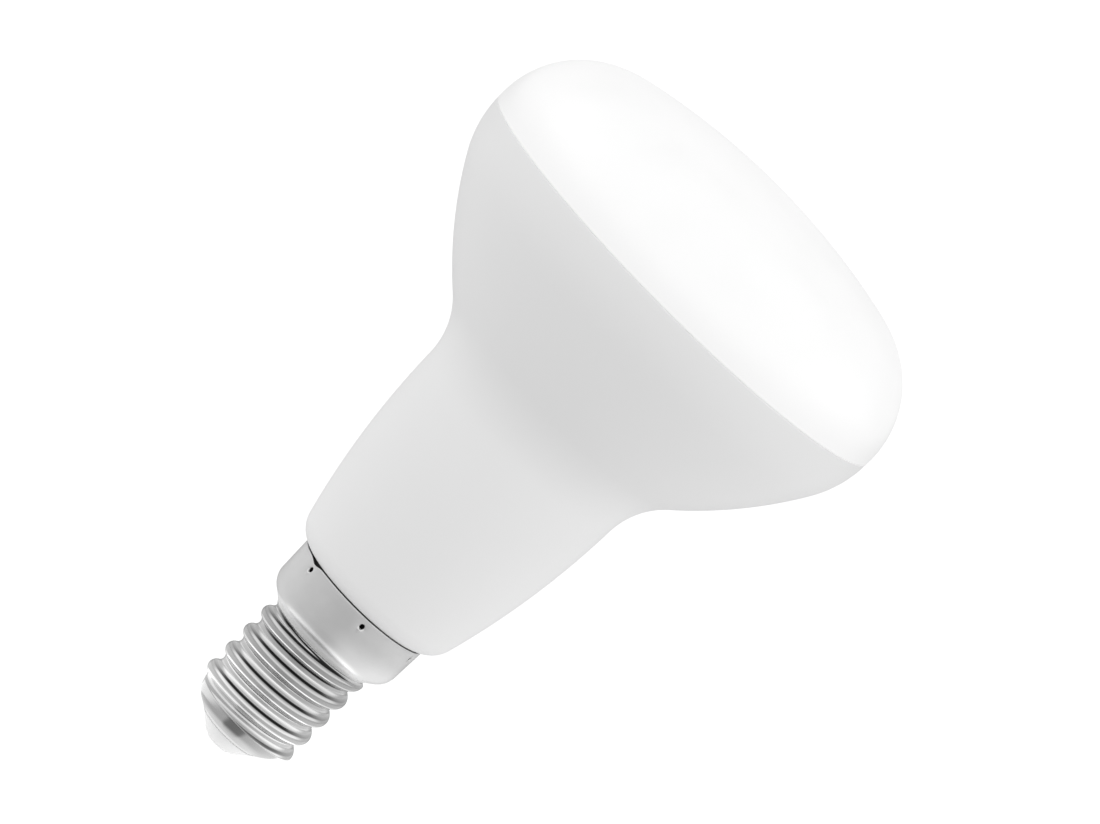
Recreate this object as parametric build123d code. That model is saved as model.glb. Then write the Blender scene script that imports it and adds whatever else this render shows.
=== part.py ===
from build123d import *
import math
import os

# A reflector lamp with a small screw cap, in millimetres. The axis is Z, from the tip of the centre contact
# at the origin up to the top of the diffuser. Lengths along it are named in the order in which they follow.

# Centre contact and insulator
contact_projection = 0.3
contact_diameter = 3.1
contact_edge = 0.2
shank_diameter = 1.5
insulator_end_diameter = 4.1
insulator_projection = 1.65
flange_height = 2.0

# Screw shell, rolled from plated sheet: turned-in end, round thread, shoulder and skirt
sheet = 0.3
end_hole_diameter = 7.7
end_corner_diameter = 11.4
end_rise = 1.2
thread_run_in = 1.3
thread_major_diameter = 13.8
thread_minor_diameter = 12.2
thread_pitch = 2.822
thread_turns = 4
thread_run_out = 0.45
throat_diameter = 12.6
shoulder_rise = 1.86
shoulder_radius = 2.4
skirt_bottom_diameter = 17.16
skirt_top_diameter = 17.5
skirt_height = 5.15

# Crimps, dents that a faceted punch leaves round the skirt to hold it on the housing's spigot
crimp_count = 6
crimp_first_angle = -75.5
crimp_drop = 1.0
crimp_diameter = 0.7
crimp_tip_diameter = 0.3
crimp_floor = 0.1
punch_sides = 6

# Housing: rounded foot, barrel neck and flare
skirt_gap = 0.12
foot_inset = 0.15
foot_rise = 2.28
neck_bottom_diameter = 21.46
neck_length = 25.86
neck_top_diameter = 27.5
neck_bulge = 0.906
neck_fillet = 9.5
flare_height = 21.0
rim_turn = 29.6
rim_radius = 13.1
largest_diameter = 56.0

# Diffuser: straight land, large corner and a nearly flat crown, with a lip half-lapped into the housing
diffuser_wall = 1.5
diffuser_land = 0.6
corner_radius = 11.3
crown_rise = 2.0
lip_wall = 0.7
lip_depth = 2.0

# Clearances between the pieces
shell_clearance = 0.08
shank_clearance = 0.02
lip_clearance = 0.05
lip_end_clearance = 0.3

# Heights on the axis
end_height = contact_projection + insulator_projection
end_corner_height = end_height + end_rise
thread_start = end_corner_height + thread_run_in
thread_stop = thread_start + thread_turns * thread_pitch
throat_height = thread_stop + thread_run_out
shoulder_height = throat_height + shoulder_rise
skirt_top = shoulder_height + skirt_height
foot_height = skirt_top + skirt_gap
neck_bottom = foot_height + foot_rise
neck_top = neck_bottom + neck_length
seam_height = neck_top + flare_height
insulator_top = end_corner_height + flange_height

# Radii
hole_radius = end_hole_diameter / 2
end_corner_radius = end_corner_diameter / 2
bore_radius = end_corner_radius - sheet
throat_radius = throat_diameter / 2
skirt_bottom_radius = skirt_bottom_diameter / 2
skirt_top_radius = skirt_top_diameter / 2
shank_radius = shank_diameter / 2
foot_radius = skirt_top_radius - foot_inset
neck_bottom_radius = neck_bottom_diameter / 2
neck_top_radius = neck_top_diameter / 2
outer_radius = largest_diameter / 2
lip_radius = outer_radius - diffuser_wall + lip_wall
mouth_radius = lip_radius + lip_clearance


def turned(outline):
    """Solid of revolution of a closed outline or face, drawn with x as the radius and y as the height."""
    face = outline if isinstance(outline, Sketch) else make_face(outline)
    return revolve(Plane.XZ * face, Axis.Z)


def rounded(face, corner, radius):
    """The face with the corner nearest to a given point rounded to a radius."""
    return fillet(face.vertices().sort_by_distance(corner)[0], radius)


def on_line(start, end, radius):
    """Height at a radius on the straight line through two points of an outline."""
    share = (radius - start[0]) / (end[0] - start[0])
    return start[1] + share * (end[1] - start[1])


def upright_thickness(start, end):
    """Height of the sheet, measured along the axis, where the sheet slopes from one point to the other."""
    return sheet * math.dist(start, end) / (end[0] - start[0])


# The sloping stretches of the shell, as outer surface points
end_inner, end_outer = (hole_radius, end_height), (end_corner_radius, end_corner_height)
shoulder_inner, shoulder_outer = (throat_radius, throat_height), (skirt_bottom_radius, shoulder_height)


def end_lining(radius):
    """Height of the turned-in end's inner face at a radius."""
    return on_line(end_inner, end_outer, radius) + upright_thickness(end_inner, end_outer)


def shoulder_lining(radius):
    """Height of the shoulder's inner face at a radius."""
    return on_line(shoulder_inner, shoulder_outer, radius) + upright_thickness(shoulder_inner, shoulder_outer)


def cap_lining(gap):
    """Outline points of the shell's inside, drawn in by a gap: the bore's top, the shoulder's corner and the
    skirt's edge."""
    core_radius = bore_radius - gap
    low_radius = skirt_bottom_radius - sheet - gap
    high_radius = skirt_top_radius - sheet - gap
    return [
        (core_radius, shoulder_lining(core_radius) + gap),
        (low_radius, shoulder_lining(low_radius) + gap),
        (high_radius, skirt_top),
    ]


def punch_points():
    """The punch's points as they stand in the skirt, with a floor of sheet left under each. A point widens
    evenly from its tip, is as wide as the crimp at the skirt's surface, and goes on as far again outside."""
    height = skirt_top - crimp_drop
    taper = (skirt_top_radius - skirt_bottom_radius) / skirt_height
    surface_radius = skirt_top_radius - taper * crimp_drop
    crimp_depth = sheet - crimp_floor
    tip = RegularPolygon(crimp_tip_diameter / 2, punch_sides)
    mouth = RegularPolygon(crimp_diameter - crimp_tip_diameter / 2, punch_sides)
    punch = loft([tip, Pos(0, 0, 2 * crimp_depth) * mouth], ruled=True)
    prick = Pos(surface_radius - crimp_depth, 0, height) * Rot(0, 90, 0) * punch
    turns = [crimp_first_angle + 360 * i / crimp_count for i in range(crimp_count)]
    return [Rot(0, 0, turn) * prick for turn in turns]


def centre_contact():
    """Flat contact button with a chamfered edge and a shank that reaches through the insulator."""
    radius = contact_diameter / 2
    shank = shank_radius - shank_clearance
    outline = Polyline(
        (0, 0), (radius, 0), (radius, contact_projection),
        (shank, contact_projection), (shank, insulator_top), (0, insulator_top), close=True,
    )
    face = make_face(outline)
    rim = face.vertices().sort_by_distance((radius, 0))[0]
    return turned(chamfer(rim, contact_edge))


def insulator():
    """Moulded plug: a cone outside the shell's end hole, a neck through it and a flange on its inside."""
    neck_radius = hole_radius - shell_clearance
    flange_radius = bore_radius - shell_clearance
    outline = Polyline(
        (shank_radius, contact_projection),
        (insulator_end_diameter / 2, contact_projection),
        (neck_radius, end_height),
        (neck_radius, end_lining(neck_radius) + shell_clearance),
        (flange_radius, end_lining(flange_radius) + shell_clearance),
        (flange_radius, insulator_top),
        (shank_radius, insulator_top),
        close=True,
    )
    return turned(outline)


def thread():
    """Round thread: a circle of the mean radius carried along a small helix, level all the way, so that every
    cut through the axis is a wave as high as the helix is wide. Short lofts bring both ends to the axis."""
    wave = (thread_major_diameter - thread_minor_diameter) / 4
    mean_radius = (thread_major_diameter + thread_minor_diameter) / 4
    path = Pos(0, 0, thread_start) * Helix(thread_pitch, thread_turns * thread_pitch, wave)
    first = Pos(wave, 0, thread_start) * Circle(mean_radius)
    last = Pos(wave, 0, thread_stop) * Circle(mean_radius)
    run_in = loft([Pos(0, 0, end_corner_height) * Circle(end_corner_radius), first])
    run_out = loft([last, Pos(0, 0, throat_height) * Circle(throat_radius)])
    return run_in + sweep(first, path=path, normal=(0, 0, 1)) + run_out


def screw_shell():
    """Shell with its turned-in end, thread, shoulder and skirt, hollow from the end hole to the skirt's edge.
    The shoulder's corner is rounded inside and out, so that the sheet keeps its thickness there."""
    end = turned(Polyline((0, end_height), end_inner, end_outer, (0, end_corner_height), close=True))
    skirt_outline = Polyline(
        (0, throat_height), shoulder_inner, shoulder_outer,
        (skirt_top_radius, skirt_top), (0, skirt_top), close=True,
    )
    skirt = turned(rounded(make_face(skirt_outline), shoulder_outer, shoulder_radius))
    bore_top, lining_corner, lining_edge = cap_lining(0)
    hollow_outline = Polyline(
        (0, end_height), end_inner,
        (hole_radius, end_lining(hole_radius)), (bore_radius, end_lining(bore_radius)),
        bore_top, lining_corner, lining_edge, (0, skirt_top), close=True,
    )
    hollow = turned(rounded(make_face(hollow_outline), lining_corner, shoulder_radius - sheet))
    return end + thread() + skirt - hollow - punch_points()


def housing():
    """Body with a spigot inside the cap, a rounded foot, a barrel neck and a bowed flare. The flare goes on
    smoothly into the rim's closer arc, which turns it upright at the seam."""
    foot_edge = (foot_radius, foot_height)
    neck_foot = (neck_bottom_radius, neck_bottom)
    neck_middle = ((neck_bottom_radius + neck_top_radius) / 2 + neck_bulge, (neck_bottom + neck_top) / 2)
    neck_corner = (neck_top_radius, neck_top)
    rim = (outer_radius, seam_height)
    neck = ThreePointArc(neck_foot, neck_middle, neck_corner)
    foot = TangentArc(neck_foot, foot_edge, tangent=-(neck % 0))
    edge = JernArc(rim, (0, -1), rim_radius, -rim_turn)
    flare = TangentArc(edge @ 1, neck_corner, tangent=edge % 1)
    mouth_floor = seam_height - lip_depth - lip_end_clearance
    core_radius = bore_radius - shell_clearance
    core_bottom = insulator_top + shell_clearance
    core_top, spigot_corner, spigot_edge = cap_lining(shell_clearance)
    inside = Polyline(
        rim, (mouth_radius, seam_height), (mouth_radius, mouth_floor), (0, mouth_floor),
        (0, core_bottom), (core_radius, core_bottom), core_top,
        spigot_corner, spigot_edge, (spigot_edge[0], foot_height), foot_edge,
    )
    face = make_face(Curve() + [foot, neck, flare, edge, inside])
    face = rounded(face, spigot_corner, shoulder_radius - sheet - shell_clearance)
    return turned(rounded(face, neck_corner, neck_fillet))


def dome(inset):
    """Corner and crown arcs of the diffuser's wall, drawn in by an inset: two arcs that meet smoothly, the
    crown level at the axis."""
    base = seam_height + diffuser_land
    radius = outer_radius - inset
    corner = corner_radius - inset
    corner_axis = outer_radius - corner_radius
    rise = corner_radius + crown_rise - inset
    crown = (corner_axis**2 + rise**2 - corner**2) / (2 * (rise - corner))
    lean = math.degrees(math.atan2(corner_axis, crown - rise))
    corner_arc = JernArc((radius, base), (0, 1), corner, 90 - lean)
    crown_arc = TangentArc(corner_arc @ 1, (0, base + rise), tangent=corner_arc % 1)
    return corner_arc, crown_arc


def diffuser():
    """Cover of even wall: its outer half stands on the housing's rim, its inner half goes into the mouth."""
    outer_corner, outer_crown = dome(0)
    inner_corner, inner_crown = dome(diffuser_wall)
    axis_line = Line(outer_crown @ 1, inner_crown @ 1)
    lip_end = seam_height - lip_depth
    foot = Polyline(
        inner_corner @ 0, (outer_radius - diffuser_wall, lip_end), (lip_radius, lip_end),
        (lip_radius, seam_height), (outer_radius, seam_height), outer_corner @ 0,
    )
    return turned(Curve() + [outer_corner, outer_crown, axis_line, inner_crown, inner_corner, foot])


os.makedirs("parts", exist_ok=True)
for build in (centre_contact, insulator, screw_shell, housing, diffuser):
    export_step(build(), f"parts/{build.__name__}.step")
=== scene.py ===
import math

import bpy
import numpy as np
from mathutils import Matrix, Vector


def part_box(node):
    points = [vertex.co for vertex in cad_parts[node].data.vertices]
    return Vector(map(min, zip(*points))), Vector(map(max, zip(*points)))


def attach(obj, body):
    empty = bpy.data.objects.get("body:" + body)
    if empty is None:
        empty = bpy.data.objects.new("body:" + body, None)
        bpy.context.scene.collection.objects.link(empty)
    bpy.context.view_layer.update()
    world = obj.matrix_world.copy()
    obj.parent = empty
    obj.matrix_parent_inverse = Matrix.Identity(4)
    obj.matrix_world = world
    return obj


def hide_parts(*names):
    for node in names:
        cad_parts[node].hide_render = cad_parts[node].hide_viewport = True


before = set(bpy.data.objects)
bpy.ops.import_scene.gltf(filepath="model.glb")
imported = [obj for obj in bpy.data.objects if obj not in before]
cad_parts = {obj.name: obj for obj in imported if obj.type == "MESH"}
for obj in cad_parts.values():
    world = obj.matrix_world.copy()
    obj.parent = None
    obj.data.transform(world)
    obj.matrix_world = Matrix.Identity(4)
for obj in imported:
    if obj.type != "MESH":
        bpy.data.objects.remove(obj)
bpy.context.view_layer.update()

# Housing. The lamp's white body, moulded in one shot from filled polyester with a fine eroded grain.
# A spigot below its rounded foot is pushed into the cap, a barrel neck rises from the foot, and the
# flare above the neck ends in the rim on which the cover stands.

MM = 0.001
seam_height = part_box("housing")[1].z / MM
largest_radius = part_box("housing")[1].x / MM
skirt_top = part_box("screw_shell")[1].z / MM
skirt_top_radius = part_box("screw_shell")[1].x / MM
skirt_gap = 0.12
foot_inset = 0.15
foot_height = skirt_top + skirt_gap
foot_radius = skirt_top_radius - foot_inset
foot_rise = 2.28
neck_bottom_radius = 10.73
neck_length = 25.86
neck_top_radius = 13.75
neck_bulge = 0.906
neck_fillet = 9.5
rim_turn = math.radians(29.6)
rim_radius = 13.1
edge_break = 0.12
spigot_radius = 8.25
spigot_depth = 3.5
mouth_radius = 27.25
mouth_depth = 2.3
housing_columns = 256

# Rows of points lie this close to a sharp corner and keep it crisp, and the rows across a closed end stop
# at a small ring round the axis.
fine_step = 0.02
corner_step = 0.05
coarse_step = 0.1
end_ring = 0.3


def heading(start, stop):
    """The direction, of length one, from one point to another."""
    way = np.asarray(stop, float) - np.asarray(start, float)
    return way / np.hypot(*way)


def run(start, stop, count):
    """Points on a straight line, in equal steps."""
    share = np.linspace(0, 1, count)[:, None]
    return np.asarray(start, float) * (1 - share) + np.asarray(stop, float) * share


def arc(centre, radius, start, stop, count):
    """Points on a circle about a centre, in equal steps of angle, the shorter way from the direction of
    one point to the direction of another."""
    centre = np.asarray(centre, float)
    first = np.arctan2(*(np.asarray(start) - centre)[::-1])
    last = np.arctan2(*(np.asarray(stop) - centre)[::-1])
    sweep = (last - first + np.pi) % (2 * np.pi) - np.pi
    angle = first + sweep * np.linspace(0, 1, count)
    return centre + radius * np.stack([np.cos(angle), np.sin(angle)], axis=1)


def rounded(corner, before, after, radius, count):
    """Points on the circle that touches both sides of a corner. The sides leave the corner in two
    directions of length one, and the centre lies on the line that halves the angle between them."""
    before, after = np.asarray(before, float), np.asarray(after, float)
    half = math.acos(before @ after) / 2
    reach = radius / math.tan(half)
    centre = corner + heading((0, 0), before + after) * radius / math.sin(half)
    return arc(centre, radius, corner + reach * before, corner + reach * after, count)


def circle_through(first, middle, last):
    """Centre and radius of the circle through three points: the centre is as far from each of them."""
    points = np.array([first, middle, last], float)
    squares = (points**2).sum(axis=1)
    centre = np.linalg.solve(2 * (points[1:] - points[0]), squares[1:] - squares[0])
    return centre, np.hypot(*(points[0] - centre))


def circle_from(start, towards, end):
    """Centre and radius of the circle through two points whose centre lies from the first in the
    direction of a third."""
    inward = heading(start, towards)
    chord = end - start
    radius = chord @ chord / (2 * chord @ inward)
    return start + radius * inward, radius


def outer_crossing(first, first_radius, second, second_radius):
    """Where two circles cross on the right of the way from the first centre to the second."""
    span = second - first
    length = np.hypot(*span)
    along = (length**2 + first_radius**2 - second_radius**2) / (2 * length)
    aside = math.sqrt(first_radius**2 - along**2)
    return first + (along * span + aside * np.array([span[1], -span[0]])) / length


def skin(name, rings, loop=False):
    """Mesh of a stack of rings, given in millimetres as rows, columns and x, y, z. Neighbours make quads
    and the last column joins the first. The last row joins the first too if the stack is a loop, and
    otherwise each end is closed by a fan to its ring's centre."""
    rows, columns = rings.shape[:2]
    index = np.arange(rows * columns).reshape(rows, columns)
    here = index if loop else index[:-1]
    above = np.roll(index, -1, axis=0) if loop else index[1:]
    quads = np.stack([here, np.roll(here, -1, axis=1), np.roll(above, -1, axis=1), above], axis=-1)
    points = rings.reshape(-1, 3)
    faces = quads.reshape(-1, 4).tolist()
    if not loop:
        first, last = index[0], index[-1]
        low, high = np.full(columns, len(points)), np.full(columns, len(points) + 1)
        points = np.vstack([points, rings[0].mean(axis=0), rings[-1].mean(axis=0)])
        faces += np.stack([np.roll(first, -1), first, low], axis=-1).tolist()
        faces += np.stack([last, np.roll(last, -1), high], axis=-1).tolist()
    mesh = bpy.data.meshes.new(name)
    mesh.from_pydata((points * MM).tolist(), [], faces)
    mesh.shade_smooth()
    piece = bpy.data.objects.new(name, mesh)
    bpy.context.scene.collection.objects.link(piece)
    return piece


def turned(profile, columns):
    """Rings of a turned piece: each profile point, a radius and a height, goes round the axis in equal
    steps."""
    angle = np.linspace(0, 2 * np.pi, columns, endpoint=False)
    radius, height = profile[:, :1], profile[:, 1:]
    return np.stack([radius * np.cos(angle), radius * np.sin(angle), height + 0 * angle], axis=-1)


def housing_profile():
    """From the spigot's end up the outside to the mouth's floor. The neck is an arc through three points,
    and the foot goes on from it smoothly to its inner edge. From the upright rim an arc and a larger one
    that goes on from it reach the neck, and a circle rolled between that and the neck rounds their
    corner."""
    neck_bottom = foot_height + foot_rise
    neck_foot = np.array([neck_bottom_radius, neck_bottom])
    neck = np.array([neck_top_radius, neck_bottom + neck_length])
    middle = (neck_foot + neck) / 2 + (neck_bulge, 0)
    barrel, barrel_radius = circle_through(neck_foot, middle, neck)
    foot_edge = np.array([foot_radius, foot_height])
    foot_middle, foot_rounding = circle_from(neck_foot, barrel, foot_edge)

    rim = np.array([largest_radius, seam_height])
    rim_middle = rim - (rim_radius, 0)
    rim_touch = rim_middle + rim_radius * np.array([math.cos(rim_turn), -math.sin(rim_turn)])
    flare, flare_radius = circle_from(rim_touch, rim_middle, neck)
    fillet = outer_crossing(barrel, barrel_radius + neck_fillet, flare, flare_radius + neck_fillet)
    neck_touch = barrel + (fillet - barrel) * barrel_radius / (barrel_radius + neck_fillet)
    flare_touch = flare + (fillet - flare) * flare_radius / (flare_radius + neck_fillet)

    spigot_end = foot_height - spigot_depth
    mouth_floor = seam_height - mouth_depth
    return np.vstack([
        run((end_ring, spigot_end), (spigot_radius, spigot_end), 4),
        run((spigot_radius, spigot_end + coarse_step), (spigot_radius, foot_height - fine_step), 4),
        run((spigot_radius + fine_step, foot_height), foot_edge - (fine_step, 0), 4),
        arc(foot_middle, foot_rounding, foot_edge, neck_foot, 20),
        arc(barrel, barrel_radius, neck_foot, neck_touch, 34)[1:],
        arc(fillet, neck_fillet, neck_touch, flare_touch, 18)[1:],
        arc(flare, flare_radius, flare_touch, rim_touch, 22)[1:-1],
        arc(rim_middle, rim_radius, rim_touch, rim - (0, edge_break), 26),
        rounded(rim, (0, -1), (-1, 0), edge_break, 6)[1:],
        run((largest_radius - 2 * edge_break, seam_height), (mouth_radius, seam_height), 3),
        run((mouth_radius, seam_height - corner_step), (mouth_radius, mouth_floor), 4),
        run((mouth_radius - corner_step, mouth_floor), (end_ring, mouth_floor), 6),
    ])


class Shade:
    """A socket of a shader. Arithmetic with sockets and numbers adds Math nodes, and node adds any
    other."""

    def __init__(self, tree, socket=None):
        self.tree = tree
        self.socket = socket

    def node(self, kind, settings=None, inputs=None, output=0):
        """Adds a node of a kind, sets its settings, then gives its sockets their values or links."""
        made = self.tree.nodes.new(kind)
        for name, value in (settings or {}).items():
            setattr(made, name, value)
        for name, value in (inputs or {}).items():
            if isinstance(value, Shade):
                self.tree.links.new(value.socket, made.inputs[name])
            else:
                made.inputs[name].default_value = value
        return Shade(self.tree, made.outputs[output] if made.outputs else None)

    def math(self, operation, first, second=0):
        """A Math node's operation on two sockets or numbers. Some operations use only the first."""
        return self.node("ShaderNodeMath", {"operation": operation}, {0: first, 1: second})

    def __add__(self, other):
        return self.math("ADD", self, other)

    def __radd__(self, other):
        return self.math("ADD", other, self)

    def __sub__(self, other):
        return self.math("SUBTRACT", self, other)

    def __rsub__(self, other):
        return self.math("SUBTRACT", other, self)

    def __mul__(self, other):
        return self.math("MULTIPLY", self, other)

    def __rmul__(self, other):
        return self.math("MULTIPLY", other, self)

    def __truediv__(self, other):
        return self.math("DIVIDE", self, other)

    def __rtruediv__(self, other):
        return self.math("DIVIDE", other, self)

    def __pow__(self, other):
        return self.math("POWER", self, other)

    def __rpow__(self, other):
        return self.math("POWER", other, self)

    def axis(self, name):
        """The x, y or z part of this place or direction."""
        return self.node("ShaderNodeSeparateXYZ", None, {0: self}, output=name)

    def mm(self, name):
        """The x, y or z part of this place in millimetres."""
        return self.axis(name) / MM

    def off_axis(self):
        """How far this place or direction is off the upright axis: the length of its x and y parts."""
        return (self.axis("X") ** 2 + self.axis("Y") ** 2) ** 0.5

    def rise(self, low, high):
        """0 below low, 1 above high, with a smooth step between."""
        smooth = {"interpolation_type": "SMOOTHSTEP"}
        return self.node("ShaderNodeMapRange", smooth, {0: self, 1: low, 2: high})

    def band(self, start, full, fading, end):
        """1 from full to fading, 0 before start and after end, with smooth steps between."""
        return self.rise(start, full) - self.rise(fading, end)

    def between(self, low, high):
        """The first number where this is 0 and the second where it is 1."""
        return low + (high - low) * self

    def blend(self, first, second):
        """The first colour where this is 0 and the second where it is 1."""
        return self.node("ShaderNodeMix", {"data_type": "RGBA"}, {0: self, 6: first, 7: second}, output=2)

    def speckle(self, grain, detail, stretch=(1, 1, 1)):
        """Noise from 0 to 1 on this place, with lumps of a grain in millimetres, drawn out by a stretch."""
        scale = [1 / (grain * MM * s) for s in stretch]
        scaled = self.node("ShaderNodeMapping", None, {"Vector": self, "Scale": scale})
        return self.node("ShaderNodeTexNoise", None, {"Vector": scaled, "Scale": 1.0, "Detail": detail})

    def relief(self, depth):
        """Normal of a surface raised by this share of a depth in millimetres."""
        return self.node("ShaderNodeBump", None, {"Strength": 1.0, "Distance": depth * MM, "Height": self})


def finish_place(name):
    """A new empty material, and the place on its piece."""
    material = bpy.data.materials.new(name)
    material.use_nodes = True
    material.node_tree.nodes.clear()
    return material, Shade(material.node_tree).node("ShaderNodeTexCoord", output="Object")


def finish_surface(place, values):
    """Gives the material a surface with these values or links."""
    surface = place.node("ShaderNodeBsdfPrincipled", None, values)
    place.node("ShaderNodeOutputMaterial", None, {"Surface": surface})


def grey(value):
    """A colour from 0 for black to 1 for white."""
    return (value, value, value, 1.0)


housing_whites = (grey(0.85), grey(0.87))
housing_cloud = 14.0
housing_grain = 0.25
housing_grain_depth = 0.004
housing_roughness = (0.40, 0.50)
# Painted shade in the gap under the skirt's edge: the spigot and the foot's underside dark, paler to one
# side.
gap_shade_greys = (grey(0.03), grey(0.40))
gap_shade_paling = (0, 6)
gap_shade_edge_blur = 0.06
gap_shade_top_blur = 0.2


def housing_plastic():
    """Satin white: a faint cloudiness from the melt's flow and an eroded grain a quarter of a millimetre
    across. The spigot and the foot's underside are painted dark as shade in the gap under the skirt's
    edge, paler to one side."""
    material, place = finish_place("housing plastic")
    cloud = place.speckle(housing_cloud, detail=2.0)
    grain = place.speckle(housing_grain, detail=2.0)
    within = 1 - (place.off_axis() / MM).rise(foot_radius - gap_shade_edge_blur, foot_radius)
    below = 1 - place.mm("Z").rise(foot_height, foot_height + gap_shade_top_blur)
    # Painted shade in the gap under the skirt's edge, paler to one side.
    gap_shade = place.mm("X").rise(*gap_shade_paling).blend(*gap_shade_greys)
    finish_surface(place, {
        "Base Color": (within * below).blend(cloud.blend(*housing_whites), gap_shade),
        "Roughness": grain.between(*housing_roughness),
        "Normal": grain.relief(housing_grain_depth),
    })
    return material


housing = skin("housing_body", turned(housing_profile(), housing_columns))
housing.data.materials.append(housing_plastic())
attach(housing, "root")
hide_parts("housing")

# Screw shell. The cap's plated sheet shell, drawn, rolled to a round thread and turned in at its end.
# Its skirt is pushed over the housing's spigot and held by six pricks of a punch. Each leaves a round
# hole in a dish, with a burr below the hole, and pulls the skirt's edge down a little.

shell_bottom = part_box("screw_shell")[0].z / MM
sheet = 0.3
sheet_edge = 0.1
lining_step = 0.5
end_hole_radius = 3.85
end_lip_radius = 0.12
end_lip_inset = 0.04
end_lip_width = 0.2
end_corner_radius = 5.7
end_rise = 1.2
thread_run_in = 1.3
thread_run_out = 0.45
thread_major_radius = 6.9
thread_minor_radius = 6.1
thread_pitch = 2.822
thread_turns = 4
throat_radius = 6.3
shoulder_rise = 1.86
shoulder_rounding = 2.4
shoulder_formed_share = 0.6
skirt_bottom_radius = 8.58
corner_softness = 0.5
throat_softness = 0.6
end_corner = shell_bottom + end_rise
thread_start = end_corner + thread_run_in
thread_stop = thread_start + thread_turns * thread_pitch
throat = thread_stop + thread_run_out
skirt_bottom = throat + shoulder_rise

crimp_count = 6
crimp_first = -75.5
crimp_angles = np.radians(crimp_first + 360 / crimp_count * np.arange(crimp_count))
crimp_drop = 1.0
crimp_height = skirt_top - crimp_drop
crimp_room = 0.55
hole_radius = 0.31
hole_blur = 0.12
hole_depth = 0.15
dish_radius = 0.6
dish_depth = 0.13
burr_height = 0.11
burr_width = 0.22
burr_length = 0.15
burr_drop = 0.14
edge_dips = np.array([0.02, 0.05, 0.04, 0.06, 0.03, 0.30])
edge_dip_width = 0.9
edge_dip_reach = 0.45

rows_per_turn = 36
columns_before_crowding = 200
crowding = 4.5
crowding_width = 0.07
crowding_samples = 20001


def from_crimps(angle):
    """The turn from each crimp to each angle, the shorter way round."""
    return np.angle(np.exp(1j * (angle[:, None] - crimp_angles)))


def shell_columns():
    """Angles round the shell, closer together near the crimps: equal steps of a running total whose rate
    is one plus a bell at each crimp."""
    angle = np.linspace(0, 2 * np.pi, crowding_samples)
    rate = 1 + crowding * np.exp(-((from_crimps(angle) / crowding_width) ** 2)).sum(axis=1)
    total = np.concatenate([[0], np.cumsum((rate[1:] + rate[:-1]) / 2 * np.diff(angle))])
    count = int(round(columns_before_crowding * total[-1] / (2 * np.pi)))
    return np.interp(np.linspace(0, total[-1], count, endpoint=False), total, angle)


def shell_profile():
    """Loop from the end hole up the outside and down the inside, as radius and height, with the thread's
    stretch still a plain cylinder of the mean radius. Rows are closer together at the crimps."""
    lip = np.array([end_hole_radius - end_lip_inset, shell_bottom])
    cone_start = (end_hole_radius + 1.5 * end_lip_width, shell_bottom + end_lip_width)
    mean_radius = (thread_major_radius + thread_minor_radius) / 2
    throat_edge = np.array([throat_radius, throat])
    corner = np.array([skirt_bottom_radius, skirt_bottom])
    top = np.array([skirt_top_radius, skirt_top])
    inner_top = top - (sheet, 0)
    slope, lean = heading(throat_edge, corner), heading(corner, top)
    shoulder = rounded(corner, -slope, lean, shoulder_rounding, 18)
    crimps_from = corner + lean * (crimp_height - crimp_room - skirt_bottom) / lean[1]
    crimps_to = corner + lean * (crimp_height + crimp_room - skirt_bottom) / lean[1]
    bore = end_corner_radius - sheet
    return np.vstack([
        rounded(lip, (0, 1), (1, 0), end_lip_radius, 4),
        run(cone_start, (end_corner_radius, end_corner), 16),
        run((end_corner_radius, end_corner), (mean_radius, thread_start), 18)[1:-1],
        run((mean_radius, thread_start), (mean_radius, thread_stop), thread_turns * rows_per_turn + 1),
        run((mean_radius, thread_stop), throat_edge, 6)[1:],
        run(throat_edge, shoulder[0], 14)[1:],
        shoulder[1:],
        run(shoulder[-1], crimps_from, 8)[1:],
        run(crimps_from, crimps_to, 26)[1:],
        rounded(top, (0, -1), (-1, 0), sheet_edge, 5),
        rounded(inner_top, (1, 0), (0, -1), sheet_edge, 5)[1:],
        run(inner_top - (0, lining_step), corner + (-sheet, sheet + coarse_step), 4),
        run(throat_edge + (-sheet, sheet), (bore, throat), 2),
        run((bore, throat - lining_step), (bore, end_corner + sheet), 4),
        run((bore - sheet, end_corner), (end_hole_radius, shell_bottom + sheet), 4),
    ])


def thread_radius(angle, height):
    """Outer radius of the round thread: equal arcs that meet smoothly, outward over the crest and inward
    over the root, as a function of the distance along the axis to the nearest crest of a right-handed
    helix."""
    depth = thread_major_radius - thread_minor_radius
    half = thread_pitch / 2
    rounding = (depth**2 + half**2) / (4 * depth)
    crest = thread_start + thread_pitch * angle / (2 * np.pi)
    away = np.abs((height - crest + half) % thread_pitch - half)
    on_crest = thread_major_radius - rounding + np.sqrt(np.maximum(rounding**2 - away**2, 0))
    in_root = thread_minor_radius + rounding - np.sqrt(np.maximum(rounding**2 - (half - away) ** 2, 0))
    return np.where(away < half / 2, on_crest, in_root)


def soft_lower(first, second, softness):
    """The lower of two radii, with the corner between them rounded by a parabola."""
    lead = np.clip(0.5 + (second - first) / (2 * softness), 0, 1)
    return second + (first - second) * lead - softness * lead * (1 - lead)


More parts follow.
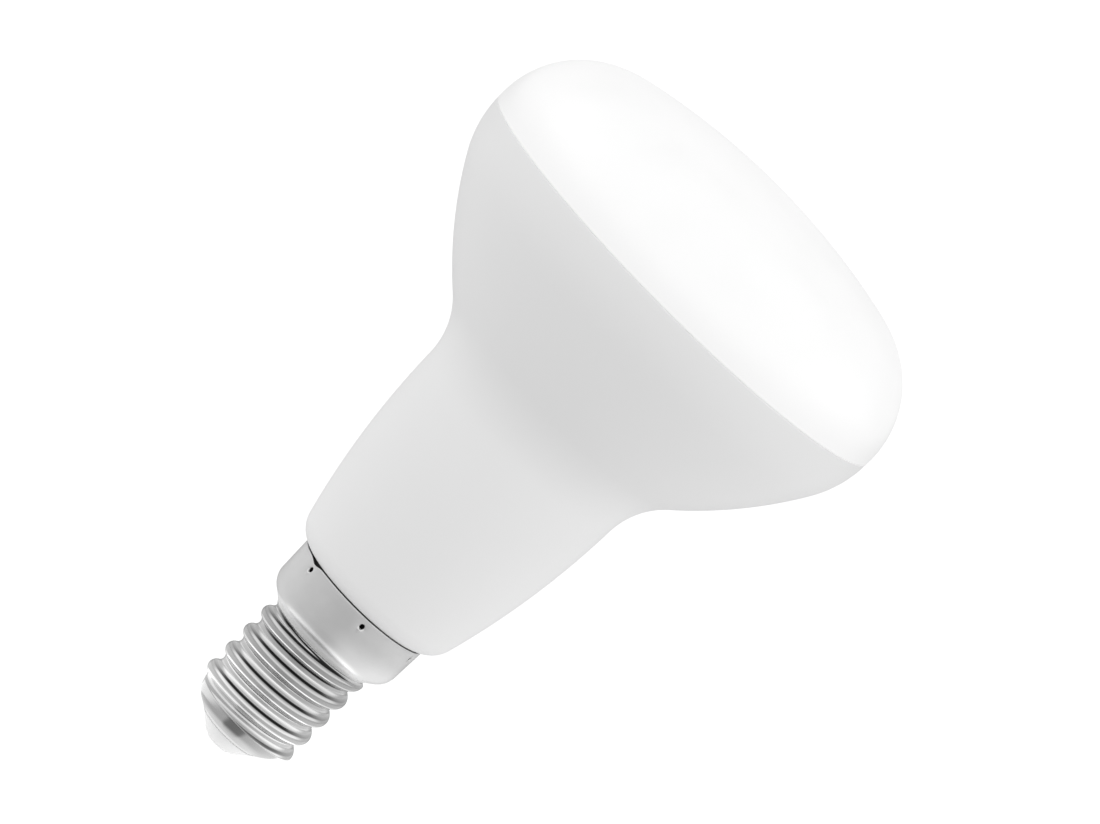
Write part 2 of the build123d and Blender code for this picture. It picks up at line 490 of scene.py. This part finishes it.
def shell_rings():
    """The turned loop with the thread put in, and with a hole, a dish and a burr at each crimp. The thread
    fades evenly to plain rings at both ends, and the corners at the turned-in end and under the shoulder
    are rounded. Also a share from 0 to 1 of how deep each point lies in a hole."""
    angle = shell_columns()
    profile = shell_profile()
    radius = np.repeat(profile[:, :1], len(angle), axis=1)
    height = np.repeat(profile[:, 1:], len(angle), axis=1)
    fade_in = np.minimum((height - end_corner) / thread_run_in, 1)
    fade_out = np.clip((throat - height) / thread_run_out, 0, 1)
    first = thread_radius(angle, np.maximum(height, thread_start))
    last = thread_radius(angle, np.minimum(height, thread_stop))
    run_in = end_corner_radius + fade_in * (first - end_corner_radius)
    run_out = throat_radius + fade_out * (last - throat_radius)
    wave = np.where(height < thread_start, run_in, run_out)
    cone = end_hole_radius + (height - shell_bottom) * (end_corner_radius - end_hole_radius) / end_rise
    shoulder = throat_radius + (height - throat) * (skirt_bottom_radius - throat_radius) / shoulder_rise
    formed = -soft_lower(-soft_lower(cone, wave, corner_softness), -shoulder, throat_softness)
    outside = np.arange(len(profile)) < profile[:, 1].argmax()
    past_lip = profile[:, 0] > end_hole_radius + end_lip_width
    below_skirt = profile[:, 1] < throat + shoulder_formed_share * shoulder_rise
    radius = np.where((outside & past_lip & below_skirt)[:, None], formed, radius)

    across = from_crimps(angle)[None] * skirt_top_radius
    up = (height - crimp_height)[:, :, None]
    away = np.hypot(across, up)
    on_skirt = (radius > skirt_bottom_radius - corner_step) & (height > skirt_bottom)
    hole = np.clip((hole_radius + hole_blur / 2 - away) / hole_blur, 0, 1)
    hole = (hole * hole * (3 - 2 * hole)).max(axis=2) * on_skirt
    dish = np.exp(-((away / dish_radius) ** 2)).sum(axis=2) * on_skirt
    under = up + hole_radius + burr_drop
    burr = np.exp(-((across / burr_width) ** 2) - (under / burr_length) ** 2).sum(axis=2) * on_skirt
    radius = radius - hole_depth * hole - dish_depth * dish + burr_height * burr
    pull = (np.exp(-((across / edge_dip_width) ** 2)) * edge_dips).sum(axis=2)
    height = height - pull * np.clip((height - skirt_top + edge_dip_reach) / edge_dip_reach, 0, 1)
    rings = np.stack([radius * np.cos(angle), radius * np.sin(angle), height], axis=-1)
    return rings, hole


# Where the plating is worn, and where painted highlights, reflections and shade lie on it. A zone gives the
# heights where it starts, is full, fades and ends.
# The first six zones are heights above the thread's crest, and the rest are heights on the cap. A side is
# a distance to the right of the axis, and the middle the square of a distance to the front or back.
flank_zone = (0.55, 0.75, 2.45, 2.55)
root_zone = (0.7, 0.9, 1.6, 2.0)
underside_zone = (1.6, 2.0, 2.45, 2.55)
line_zone = (1.14, 1.22, 1.3, 1.38)
ledge_zone = (0.46, 0.58, 0.72, 0.84)
last_root_zone = (1.66, 1.78, 1.96, 2.08)
rolled_zone = (thread_start - 0.4, thread_start + 0.5, thread_stop + 0.15, thread_stop + 0.3)
crease_zone = (throat - 0.32, throat - 0.22, throat - 0.12, throat - 0.02)
brow_zone = (throat, throat + 0.2, throat + 0.9, throat + 1.4)
patch_zone = (throat - 0.1, throat + 0.3, throat + 2.1, throat + 5.1)
satin_from = (throat - 0.1, throat + 0.3)
last_turn_from = (thread_stop - 3.4, thread_stop - 2.6)
top_turns_from = (thread_stop - 6, thread_stop)
bottom_turns_until = (thread_start + 1, thread_start + 7)
turned_in_until = (thread_start + 0.3, thread_start + 1.7)
worn_edge_until = (shell_bottom + 0.35, shell_bottom + 0.55)
patch_highlight_side = (0, 3.5)
end_lighter_side = (0, 4)
shade_line_middle = (2, 30)

plating_greys = (grey(0.68), grey(0.64))
# Painted highlight on one side of the shoulder and skirt.
patch_highlight_grey = grey(0.86)
# Painted reflections and highlights on the thread: a bright underside, a darker root and crest, and a
# bright line.
underside_highlight_grey = grey(0.82)
root_dark_reflection_grey = grey(0.53)
crest_dark_reflection_grey = grey(0.47)
highlight_line_grey = grey(0.74)
# The first turns of the thread lighter and the last turns darker.
bottom_turns_grey = grey(0.9)
bottom_turns_share = 0.3
top_turns_grey = grey(0.2)
top_turns_share = 0.16
# Painted shade on the turned-in end, painted lighter to one side.
end_shade_greys = (grey(0.49), grey(0.62))
# Painted highlight: a pale, less metallic band above the throat.
brow_highlight_grey = grey(0.95)
brow_highlight_metallic = 0.45
worn_edge_grey = grey(0.68)
# Painted shade: dark lines on the ledge above the crest, in the last root and in the crease under the
# shoulder.
painted_shade_grey = grey(0.02)
ledge_shade_share = 0.3
# Painted shade: the holes are black inside.
hole_shade_grey = grey(0.005)
hole_edge = (0.45, 0.9)
drawn_line = 0.12
drawn_line_stretch = (60, 60, 1)
drawn_line_depth = 0.0012
plating_cloud = 3.0
plating_cloud_edge = (0.35, 0.75)
plating_tint = grey(0.97)
plating_roughness = (0.10, 0.20)
satin_roughness = 0.20
hole_roughness = 0.5


def shell_plating():
    """Bright plating over drawn sheet, with fine lines round the shell and faint clouds of tarnish. On the
    thread, painted reflections darken the crest and root, and painted highlights give a bright line and a
    bright underside. The first turns are lighter and the last ones darker. The turned-in end is darkened
    by painted shade, lighter to one side, with a worn edge. The shoulder and skirt are satin, with a pale
    matt band above the throat and a light patch to one side, both painted highlights. Painted shade lies
    as dark lines on the ledge above the crest, in the last root and in the crease under the shoulder, most
    of all at the front and back. The holes are painted black inside as shade."""
    material, place = finish_place("shell plating")
    lines = place.speckle(drawn_line, detail=2.0, stretch=drawn_line_stretch)
    cloud = place.speckle(plating_cloud, detail=3.0)
    hole = place.node("ShaderNodeAttribute", {"attribute_name": "hole"}, output="Fac")
    x, y, height = place.mm("X"), place.mm("Y"), place.mm("Z")
    turns = (height - thread_start) / thread_pitch - place.math("ARCTAN2", y, x) / math.tau
    above = thread_pitch * place.math("FRACT", turns)

    rolled = height.band(*rolled_zone)
    satin = height.rise(*satin_from)
    # Painted highlight band above the throat.
    brow = height.band(*brow_zone)
    # Painted shade: dark lines on the ledge above the crest, in the last root and in the crease under the
    # shoulder, strongest at the front and back.
    middle = (y**2).rise(*shade_line_middle)
    ledge = rolled * above.band(*ledge_zone)
    last_root = rolled * above.band(*last_root_zone) * height.rise(*last_turn_from)
    shade_lines = middle.between(ledge_shade_share, 1) * ledge + middle * (last_root + height.band(*crease_zone))
    # Painted highlights, reflections and shade, with some wear, laid over the plating in turn.
    wear_and_painted_light = [
        # Painted highlight on one side of the shoulder and skirt.
        (x.rise(*patch_highlight_side) * height.band(*patch_zone), patch_highlight_grey),
        # Painted reflections and highlights on the thread: a bright underside, a darker root and crest, and
        # a bright line.
        (rolled * above.band(*underside_zone), underside_highlight_grey),
        (rolled * above.band(*root_zone), root_dark_reflection_grey),
        (rolled * (1 - above.band(*flank_zone)), crest_dark_reflection_grey),
        (rolled * above.band(*line_zone), highlight_line_grey),
        # The first turns of the thread lighter and the last turns darker.
        (bottom_turns_share * rolled * (1 - height.rise(*bottom_turns_until)), bottom_turns_grey),
        (top_turns_share * rolled * height.rise(*top_turns_from), top_turns_grey),
        # Painted shade on the turned-in end, painted lighter to one side.
        (1 - height.rise(*turned_in_until), x.rise(*end_lighter_side).blend(*end_shade_greys)),
        (brow, brow_highlight_grey),
        (1 - height.rise(*worn_edge_until), worn_edge_grey),
        (shade_lines, painted_shade_grey),
        # Painted shade: the holes are black inside.
        (hole.rise(*hole_edge), hole_shade_grey),
    ]
    metal = cloud.rise(*plating_cloud_edge).blend(*plating_greys)
    for share, colour in wear_and_painted_light:
        metal = share.blend(metal, colour)
    finish_surface(place, {
        "Base Color": metal,
        "Metallic": brow.between(1, brow_highlight_metallic),
        "Specular Tint": plating_tint,
        "Roughness": lines.between(*plating_roughness) + satin_roughness * satin + hole_roughness * hole,
        "Normal": lines.relief(drawn_line_depth),
    })
    return material


rings, hole_share = shell_rings()
shell = skin("cap_shell", rings, loop=True)
shell.data.attributes.new("hole", "FLOAT", "POINT").data.foreach_set("value", hole_share.ravel())
shell.data.materials.append(shell_plating())
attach(shell, "root")
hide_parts("screw_shell")

# Insulator. A white moulded plug in the shell's turned-in end, which keeps the centre contact off the
# shell. Its cone stands out of the end hole with a softly rounded foot.

insulator_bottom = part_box("insulator")[0].z / MM
insulator_end_radius = 2.05
insulator_rounding = 0.45
insulator_neck_radius = 3.88
insulator_depth = 1.2
insulator_top = shell_bottom + insulator_depth
insulator_end_ring = 0.2
insulator_columns = 160


def insulator_profile():
    """From the foot's flat up the cone into the shell's end: the foot's corner is a circle that touches
    both."""
    corner = np.array([insulator_end_radius, insulator_bottom])
    neck = np.array([insulator_neck_radius, shell_bottom])
    foot = rounded(corner, (-1, 0), heading(corner, neck), insulator_rounding, 12)
    return np.vstack([
        run((insulator_end_ring, insulator_bottom), foot[0], 6)[:-1],
        foot,
        run(foot[-1], neck, 14)[1:],
        run(neck + (0, coarse_step), (insulator_neck_radius, insulator_top), 4),
        run((insulator_neck_radius - coarse_step, insulator_top), (insulator_end_ring, insulator_top), 4),
    ])


insulator_whites = (grey(0.88), grey(0.92))
# Painted light: grey at the foot, lighter up into the shell's end where the shell shades it.
insulator_foot_grey = grey(0.82)
insulator_unevenness = 0.6
insulator_unevenness_depth = 0.004
insulator_roughness = (0.30, 0.42)


def insulator_plastic():
    """White with a slight gloss, a little uneven where the mould was polished by hand, greyer at the
    foot and painted lighter up into the shell's end, as painted light against the shell's shade."""
    material, place = finish_place("insulator plastic")
    polish = place.speckle(insulator_unevenness, detail=3.0)
    # Painted light: grey at the foot, lighter up into the shell's end where the shell shades it.
    toward_foot = 1 - place.mm("Z").rise(insulator_bottom, shell_bottom)
    finish_surface(place, {
        "Base Color": toward_foot.blend(polish.blend(*insulator_whites), insulator_foot_grey),
        "Roughness": polish.between(*insulator_roughness),
        "Normal": polish.relief(insulator_unevenness_depth),
    })
    return material


insulator = skin("cap_insulator", turned(insulator_profile(), insulator_columns))
insulator.data.materials.append(insulator_plastic())
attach(insulator, "root")
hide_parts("insulator")

# Centre contact. A pale tinned button, pressed through the insulator, with a rolled edge and a faintly
# hollowed face that the socket's spring rubs.

contact_radius = 1.55
contact_height = insulator_bottom
contact_edge = 0.18
contact_hollow = 0.04
contact_face_start = 0.06
contact_end_ring = 0.1
shank_radius = 0.7
contact_columns = 120


def contact_profile():
    """From the face's middle, hollowed by a parabola, over the rolled edge to the shank inside the
    insulator. The face's rim lies at height 0, the lamp's lowest point."""
    share = np.linspace(contact_face_start, 1, 12)
    flat = contact_radius - contact_edge
    face = np.stack([flat * share, contact_hollow * (1 - share**2)], axis=1)
    middle = np.array([flat, contact_edge])
    return np.vstack([
        face,
        arc(middle, contact_edge, middle - (0, 1), middle + (1, 0), 8)[1:],
        run((contact_radius, contact_height - fine_step), (contact_radius - fine_step, contact_height), 2),
        run((shank_radius, contact_height + fine_step / 2), (shank_radius, insulator_top), 3),
        run((shank_radius - coarse_step, insulator_top), (contact_end_ring, insulator_top), 2),
    ])


contact_greys = (grey(0.76), grey(0.84))
contact_rub = 0.15
contact_rub_stretch = (6, 1, 1)
contact_rub_depth = 0.003
contact_roughness = (0.28, 0.48)


def contact_metal():
    """Tinned metal, pale and soft, with rub marks."""
    material, place = finish_place("contact metal")
    rubs = place.speckle(contact_rub, detail=3.0, stretch=contact_rub_stretch)
    finish_surface(place, {
        "Base Color": rubs.blend(*contact_greys),
        "Metallic": 1.0,
        "Roughness": rubs.between(*contact_roughness),
        "Normal": rubs.relief(contact_rub_depth),
    })
    return material


contact = skin("cap_contact", turned(contact_profile(), contact_columns))
contact.data.materials.append(contact_metal())
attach(contact, "root")
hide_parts("centre_contact")

# Diffuser. The opal cover, moulded thin and even, with a straight land, a large rounded corner and a
# nearly flat crown. A lip below its edge is pushed into the housing's mouth.

diffuser_wall = 1.5
diffuser_land = 0.6
diffuser_corner_radius = 11.3
crown_rise = 2.0
lip_wall = 0.7
lip_depth = 2.0
diffuser_columns = 256


def dome(inset, rows):
    """Corner and crown of the wall, drawn in by an inset, from the land up to the axis: a circle about the
    corner's middle, then the circle about a point on the axis that touches it and passes through the
    top."""
    base = seam_height + diffuser_land
    corner_middle = np.array([largest_radius - diffuser_corner_radius, base])
    corner = diffuser_corner_radius - inset
    rise = diffuser_corner_radius + crown_rise - inset
    crown = (corner_middle[0] ** 2 + rise**2 - corner**2) / (2 * (rise - corner))
    crown_middle = np.array([0, base + rise - crown])
    touch = crown_middle + crown * heading(crown_middle, corner_middle)
    return np.vstack([
        arc(corner_middle, corner, corner_middle + (1, 0), touch, rows),
        arc(crown_middle, crown, touch, (end_ring, base + rise), rows)[1:],
    ])


def diffuser_profile():
    """From the top of the inside down the inner wall, round the lip and edge, and up the outside to the
    top."""
    lip_end = seam_height - lip_depth
    inner = largest_radius - diffuser_wall
    lip = inner + lip_wall
    edge = np.array([largest_radius, seam_height])
    return np.vstack([
        dome(diffuser_wall, 16)[::-1],
        run((inner, seam_height), (inner, lip_end), 4),
        run((inner + corner_step, lip_end), (lip, lip_end), 3),
        run((lip, lip_end + coarse_step), (lip, seam_height - fine_step), 4),
        run((lip + corner_step, seam_height), edge - (2 * edge_break, 0), 3),
        rounded(edge, (-1, 0), (0, 1), edge_break, 6),
        run(edge + (0, 2 * coarse_step), edge + (0, diffuser_land - coarse_step), 3),
        dome(0, 40),
    ])


opal_whites = (grey(0.92), grey(0.95))
opal_marbling = 9.0
opal_grain = 0.4
opal_grain_depth = 0.002
opal_roughness = (0.26, 0.34)
opal_glow_strength = 0.12
opal_glow_whites = (grey(0.85), grey(1.0))
opal_glow_marbling = (0.25, 0.6)
opal_filled = (seam_height + 1, seam_height + 11)


def opal_plastic():
    """Milk-white cover that fills with light above its edge: a faint marbling, a satin skin and a soft
    glow of its own."""
    material, place = finish_place("opal plastic")
    marbling = place.speckle(opal_marbling, detail=3.0)
    grain = place.speckle(opal_grain, detail=2.0)
    filled = place.mm("Z").rise(*opal_filled)
    marbled_glow = marbling.rise(*opal_glow_marbling).blend(*opal_glow_whites)
    finish_surface(place, {
        "Base Color": marbling.blend(*opal_whites),
        "Roughness": grain.between(*opal_roughness),
        "Normal": grain.relief(opal_grain_depth),
        "Emission Color": filled.blend(opal_glow_whites[0], marbled_glow),
        "Emission Strength": opal_glow_strength,
    })
    return material


diffuser = skin("opal_cover", turned(diffuser_profile(), diffuser_columns))
diffuser.data.materials.append(opal_plastic())
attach(diffuser, "root")
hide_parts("diffuser")

# Floor and light. A white floor that glows, in a white tent: bright from the sides, dimmer in front, at
# the back, overhead and in a low band all round. Close to the cap the floor has a bright ring and a
# shaded wedge. Where the camera sees the floor or the tent, they are plain white.

# A turn gives the cosines, as facing gives them, between which it takes hold. Places on the floor are in
# millimetres, and places on the tent are shares of the way up.
floor_reach = 5000.0
floor_drop = 0.5
ground_white = 1.1
front_turn = (-0.3, 0.9)
back_dimming = 0.5

floor_light = 0.93
floor_front_dimming = 0.24
floor_slot_dimming = 0.13
floor_slot_turn = (0.9, 1.0)
floor_back_turn = (0.75, 0.98)
floor_lean = 0.015
far_floor_from = (304.0, 456.0)
ring_light = 0.6
ring_zone = (8.5, 10.0, 15.0, 16.5)
tip_light = 0.18
tip_until = (3.85, 6.05)
wedge_dimming = 0.52
wedge_tip_lightening = 0.65
wedge_zone = (2.64, 3.96, 15.3, 20.7)
wedge_spread = 0.32
wedge_start_width = 0.2
wedge_edge = (0.5, 1.5)

tent_light = 1.58
tent_top_light = 0.66
tent_front_dimming = 0.08
tent_back_turn = (0.3, 0.75)
tent_low_until = (0.1, 0.28)
tent_top_from = (0.35, 0.95)


def facing(place):
    """Cosine of the turn, seen from above, between a place or direction and the camera's side."""
    return (0 - place.axis("Y")) / place.off_axis()


def seen_white(start, light):
    """The light, or the ground's plain white where the camera looks straight at it."""
    seen = start.node("ShaderNodeLightPath", output="Is Camera Ray")
    return light + (ground_white - light) * seen


def floor_glow(place):
    """How brightly the floor glows. It is dimmer in front, most of all in a narrow slot towards the
    camera, at the back and far off, and a little brighter to the right. A ring round the cap is bright,
    the spot under its tip is even, and a wedge that widens to the front is shaded."""
    front = facing(place)
    aside, ahead = place.mm("X"), 0 - place.mm("Y")
    away = place.off_axis() / MM
    far = away.rise(*far_floor_from)
    tip = 1 - away.rise(*tip_until)
    ring = away.band(*ring_zone)
    dimming = floor_front_dimming * front.rise(*front_turn)
    dimming = dimming + floor_slot_dimming * front.rise(*floor_slot_turn)
    dimming = dimming + back_dimming * (0 - front).rise(*floor_back_turn) * (1 - far)
    dimming = (dimming - floor_lean * (aside / away)) * (1 - tip)
    dimming = place.math("MAXIMUM", dimming, back_dimming * far)
    width = wedge_spread * ahead + wedge_start_width
    wedge = ahead.band(*wedge_zone) * (1 - ring) * (1 - ((aside / width) ** 2).rise(*wedge_edge))
    shade = wedge_dimming * wedge * (1 - wedge_tip_lightening * tip)
    return (floor_light * (1 - dimming) + tip_light * tip) * (1 - shade) + ring_light * ring


def tent_glow(direction):
    """How brightly the tent glows: dimmer in front, at the back and in a low band all round, and at a
    strength of its own overhead."""
    front = facing(direction)
    up = direction.axis("Z")
    dimming = tent_front_dimming * front.rise(*front_turn)
    dimming = dimming + back_dimming * (0 - front).rise(*tent_back_turn)
    low = 1 - up.rise(*tent_low_until)
    dimming = direction.math("MAXIMUM", dimming, back_dimming * low)
    top = up.rise(*tent_top_from)
    return tent_light * (1 - dimming) * (1 - top) + tent_top_light * top


floor_finish, floor_place = finish_place("floor white")
floor_strength = seen_white(floor_place, floor_glow(floor_place))
floor_shine = floor_place.node("ShaderNodeEmission", None, {"Strength": floor_strength})
floor_place.node("ShaderNodeOutputMaterial", None, {"Surface": floor_shine})

floor_corners = floor_reach * np.array([(-1, -1, 0), (1, -1, 0), (1, 1, 0), (-1, 1, 0)], float)
floor_mesh = bpy.data.meshes.new("floor")
floor_mesh.from_pydata(((floor_corners - (0, 0, floor_drop)) * MM).tolist(), [], [(0, 1, 2, 3)])
floor = bpy.data.objects.new("floor", floor_mesh)
bpy.context.scene.collection.objects.link(floor)
floor.data.materials.append(floor_finish)

tent = bpy.data.worlds.new("tent")
tent.use_nodes = True
tent.node_tree.nodes.clear()
tent_place = Shade(tent.node_tree).node("ShaderNodeTexCoord", output="Generated")
tent_strength = seen_white(tent_place, tent_glow(tent_place))
tent_shine = tent_place.node("ShaderNodeBackground", None, {"Color": grey(1.0), "Strength": tent_strength})
tent_place.node("ShaderNodeOutputWorld", None, {"Surface": tent_shine})
bpy.context.scene.world = tent
bpy.context.scene.view_settings.view_transform = "Standard"

# Camera. Far off with a long lens, a little above the lamp's middle, and turned so that the lamp leans to
# the right with its cover up.

sight_height = 51.9
camera_distance = 731.0
camera_rise = math.radians(9.0)
lean_in_picture = math.radians(44.82)
picture_width = 1100
pixels_per_mm = 9.25

camera_data = bpy.data.cameras.new("camera")
camera_data.sensor_width = 36.0
camera_data.lens = pixels_per_mm * camera_distance * camera_data.sensor_width / picture_width
camera_data.clip_start = 0.01
camera_data.clip_end = 20.0
camera = bpy.data.objects.new("camera", camera_data)
back = Vector((0, -math.cos(camera_rise), math.sin(camera_rise)))
level = Vector((1, 0, 0))
upright = back.cross(level)
right = math.cos(lean_in_picture) * upright + math.sin(lean_in_picture) * level
up = math.sin(lean_in_picture) * upright - math.cos(lean_in_picture) * level
turn = Matrix((right, up, back)).transposed().to_4x4()
stand = Vector((0, 0, sight_height)) + camera_distance * back
camera.matrix_world = Matrix.Translation(MM * stand) @ turn
bpy.context.scene.collection.objects.link(camera)
bpy.context.scene.camera = camera
